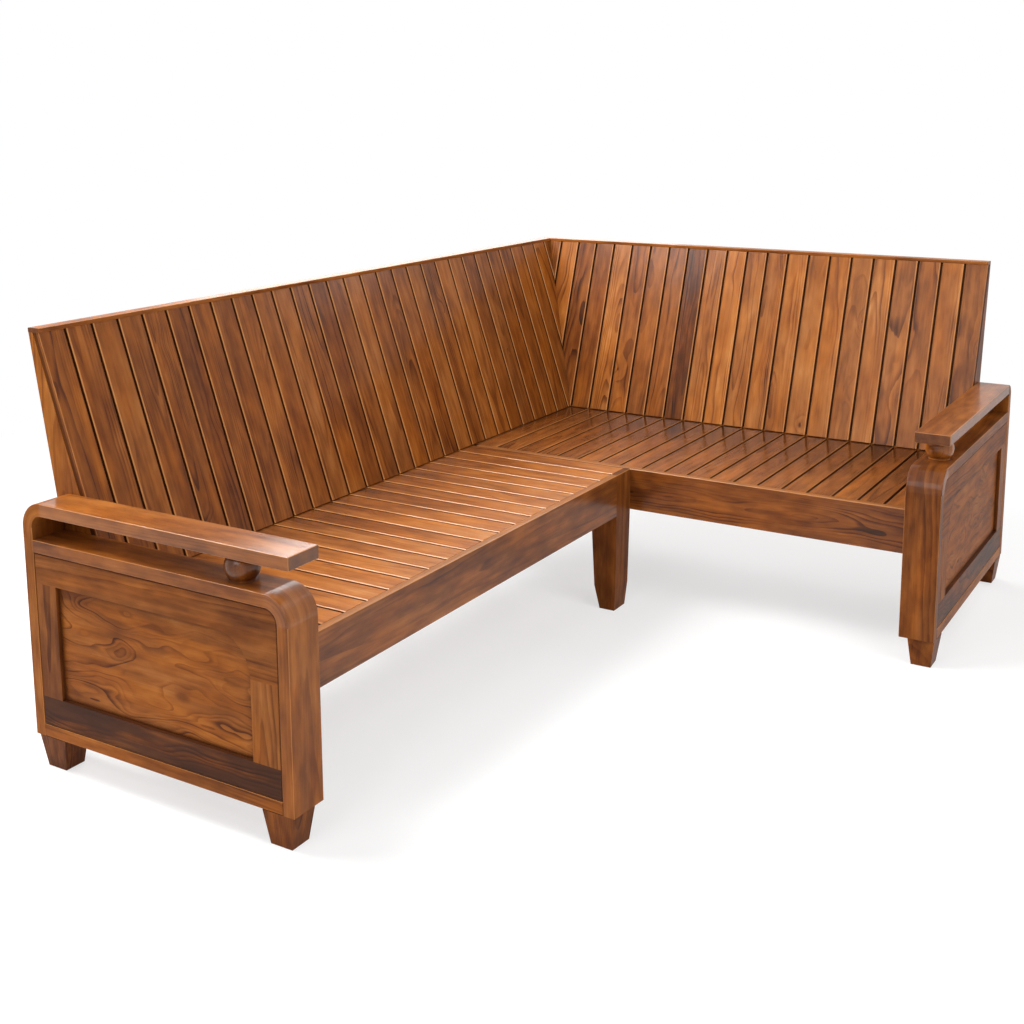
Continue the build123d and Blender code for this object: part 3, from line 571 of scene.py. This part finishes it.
def slatRow(prefix):
    # a row starts at its free end: the long one ends at the divider, and the short one at the long back
    run = runs[prefix][0]
    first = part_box(f"{prefix}_seat_slats")[0]
    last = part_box("short_front_rail")[0] if prefix == "long" else seatLine("long")
    pitch = (last - first).dot(run) / rows["seatSlats"]
    return round(first.dot(run), rows["places"]), round(pitch, rows["places"])


def boardFor(name):
    prefix, _, kind = name.partition("_")
    if prefix not in runs:
        prefix, kind = "long", name
    run, side = runs[prefix]
    ways = {"run": run, "side": side, "up": axisZ, "down": -axisZ, "breadth": axisZ.cross(run),
            "rake": side * math.sin(rake) + axisZ * math.cos(rake)}
    cutAlong, cutAcross, changes = cuts[kind]
    along, across = ways[cutAlong], ways[cutAcross]
    look = {**plainBoard, **changes, **ownLooks.get(name, {})}
    origin = middleOf(name)
    if kind in hoops:
        # the grain of a hoop is counted from the centre of its bend
        end, quarters = hoops[kind]
        radius = bends[end]["radius"]
        origin = bendCentre(prefix, end)
        if quarters is None:
            look["bend"] = radius
        else:
            origin = origin - along * (quarters * math.pi / 2 * radius)
    if kind.endswith("slats"):
        start, pitch = slatRow(prefix)
        look["pitch"], look["width"] = pitch, pitch - rows["gap"]
        look["face"] = (seatLine(prefix) - origin).dot(along.cross(across))
        origin = origin + run * (start - origin.dot(run))
    else:
        origin = origin - across * (look["pitch"] / 2)
    return origin, along, across, look


def dress(name, material):
    nodes[name].data.materials.clear()
    nodes[name].data.materials.append(material)


order = sorted(nodes)
for name in order:
    if name == "post_bolts":
        continue
    prefix, _, kind = name.partition("_")
    board = f"{prefix}_{kin[kind]}" if kind in kin else name
    seed = seeds["start"] + seeds["step"] * order.index(board)
    dress(name, boardMaterial(name, *boardFor(name), seed))
print("teak on", len(nodes) - 1, "nodes")


boltSteel = {
    "colour": (0.30, 0.29, 0.27, 1.0), "grimyAndShaded": (0.16, 0.14, 0.12, 1.0), "rough": 0.38, "rougher": 0.25,
    "grimeAndShade": {"along": 220.0, "across": 220.0, "detail": 3.0, "rough": 0.6},
}


def boltMaterial():
    material = bpy.data.materials.new("boltSteel")
    material.use_nodes = True
    tree = material.node_tree
    shader = tree.nodes["Principled BSDF"].inputs
    coords = tree.nodes.new("ShaderNodeTexCoord").outputs
    grimeAndShade = stretched(tree, coords["Object"], boltSteel["grimeAndShade"])[0]
    plug(tree, blendColours(tree, grimeAndShade, boltSteel["colour"], boltSteel["grimyAndShaded"]), shader["Base Color"])
    plug(tree, plusTimes(tree, boltSteel["rough"], grimeAndShade, boltSteel["rougher"]), shader["Roughness"])
    shader["Metallic"].default_value = 1.0
    return material


dress("post_bolts", boltMaterial())
print("bolts in steel")


# floor, lamps and camera

floorLook = {
    "reach": 30.0, "drop": -0.0006, "bounce": 0.75, "seen": 0.42, "lift": 0.605,
    "fadeFrom": 1.8, "fadeTo": 3.4,
}


def seenDirectly(tree):
    # camera, glossy and transmission rays see the pale studio, the rest only its light
    path = tree.nodes.new("ShaderNodeLightPath").outputs
    cameraOrGlossy = maths(tree, "MAXIMUM", path["Is Camera Ray"], path["Is Glossy Ray"])
    return maths(tree, "MAXIMUM", cameraOrGlossy, path["Is Transmission Ray"])


def mixShaders(tree, share, first, second):
    node = tree.nodes.new("ShaderNodeMixShader")
    for socket, value in zip(node.inputs, (share, first, second)):
        tree.links.new(value, socket)
    return node.outputs[0]


def matt(tree, level):
    node = tree.nodes.new("ShaderNodeBsdfDiffuse")
    node.inputs[0].default_value = (level, level, level, 1.0)
    return node.outputs[0]


def floorMaterial():
    material = bpy.data.materials.new("paleFloor")
    material.use_nodes = True
    tree = material.node_tree
    tree.nodes.remove(tree.nodes["Principled BSDF"])
    lift = tree.nodes.new("ShaderNodeEmission")
    lift.inputs["Strength"].default_value = floorLook["lift"]
    shown = tree.nodes.new("ShaderNodeAddShader")
    tree.links.new(matt(tree, floorLook["seen"]), shown.inputs[0])
    tree.links.new(lift.outputs[0], shown.inputs[1])
    # away from the bench the floor runs out into plain white
    coords = tree.nodes.new("ShaderNodeTexCoord").outputs
    distance = vectorMaths(tree, "LENGTH", coords["Object"])["Value"]
    white = tree.nodes.new("ShaderNodeEmission").outputs[0]
    fade = ease(tree, distance, floorLook["fadeFrom"], floorLook["fadeTo"])
    runOut = mixShaders(tree, fade, shown.outputs[0], white)
    surface = mixShaders(tree, seenDirectly(tree), matt(tree, floorLook["bounce"]), runOut)
    tree.links.new(surface, tree.nodes["Material Output"].inputs["Surface"])
    return material


def makeFloor():
    reach, drop = floorLook["reach"], floorLook["drop"]
    mesh = bpy.data.meshes.new("studioFloor")
    corners = [(-reach, -reach, drop), (reach, -reach, drop), (reach, reach, drop), (-reach, reach, drop)]
    mesh.from_pydata(corners, [], [(0, 1, 2, 3)])
    mesh.materials.append(floorMaterial())
    floor = bpy.data.objects.new("studioFloor", mesh)
    scene.collection.objects.link(floor)


makeFloor()

skyLook = {"light": 0.30, "seen": 1.0, "colour": (1.0, 1.0, 1.0, 1.0)}


def makeSky():
    world = bpy.data.worlds.new("studioSky")
    scene.world = world
    world.use_nodes = True
    tree = world.node_tree
    background = tree.nodes["Background"].inputs
    background["Color"].default_value = skyLook["colour"]
    level = plusTimes(tree, skyLook["light"], seenDirectly(tree), skyLook["seen"] - skyLook["light"])
    tree.links.new(level, background["Strength"])


makeSky()

lamps = {
    "backBox": {"from": (2.7, 2.3, 2.3), "to": (-0.8, 0.0, 0.5), "size": 2.6, "watts": 75.0},
    "topBox": {"from": (-1.2, 1.7, 3.1), "to": (-0.3, 0.1, 0.4), "size": 1.7, "watts": 130.0},
    "rightBox": {"from": (3.3, -1.2, 2.7), "to": (-0.3, 0.1, 0.4), "size": 1.6, "watts": 30.0},
    "keyBox": {"from": (-4.0, 0.2, 2.8), "to": (0.0, 0.0, 0.5), "size": 2.2, "watts": 50.0},
    "frontBox": {"from": (-1.2, -3.2, 3.2), "to": (0.0, 0.2, 0.5), "size": 2.4, "watts": 78.0},
}


def makeLamp(name, lamp):
    light = bpy.data.lights.new(name, "AREA")
    light.shape = "SQUARE"
    light.size = lamp["size"]
    light.energy = lamp["watts"]
    holder = bpy.data.objects.new(name, light)
    scene.collection.objects.link(holder)
    holder.location = lamp["from"]
    aim = Vector(lamp["to"]) - Vector(lamp["from"])
    holder.rotation_euler = aim.to_track_quat("-Z", "Y").to_euler()
    holder.visible_camera = False


for name, lamp in lamps.items():
    makeLamp(name, lamp)
print("floor, sky and", len(lamps), "lamps set")

# metres, degrees and millimetres
shot = {
    "place": (-3.0139, -1.5631, 1.4213), "heading": -59.04, "tilt": 79.86, "roll": -0.23,
    "sensor": 36.0, "lens": 47.84, "shiftY": -0.163,
}


def makeCamera():
    camera = bpy.data.cameras.new("photoCamera")
    camera.sensor_width = shot["sensor"]
    camera.lens = shot["lens"]
    camera.shift_y = shot["shiftY"]
    holder = bpy.data.objects.new("photoCamera", camera)
    scene.collection.objects.link(holder)
    holder.location = shot["place"]
    turned = Matrix.Rotation(math.radians(shot["heading"]), 3, "Z")
    turned = turned @ Matrix.Rotation(math.radians(shot["tilt"]), 3, "X")
    turned = turned @ Matrix.Rotation(math.radians(shot["roll"]), 3, "Z")
    holder.rotation_euler = turned.to_euler()
    scene.camera = holder


makeCamera()
print("camera at the photograph's place")
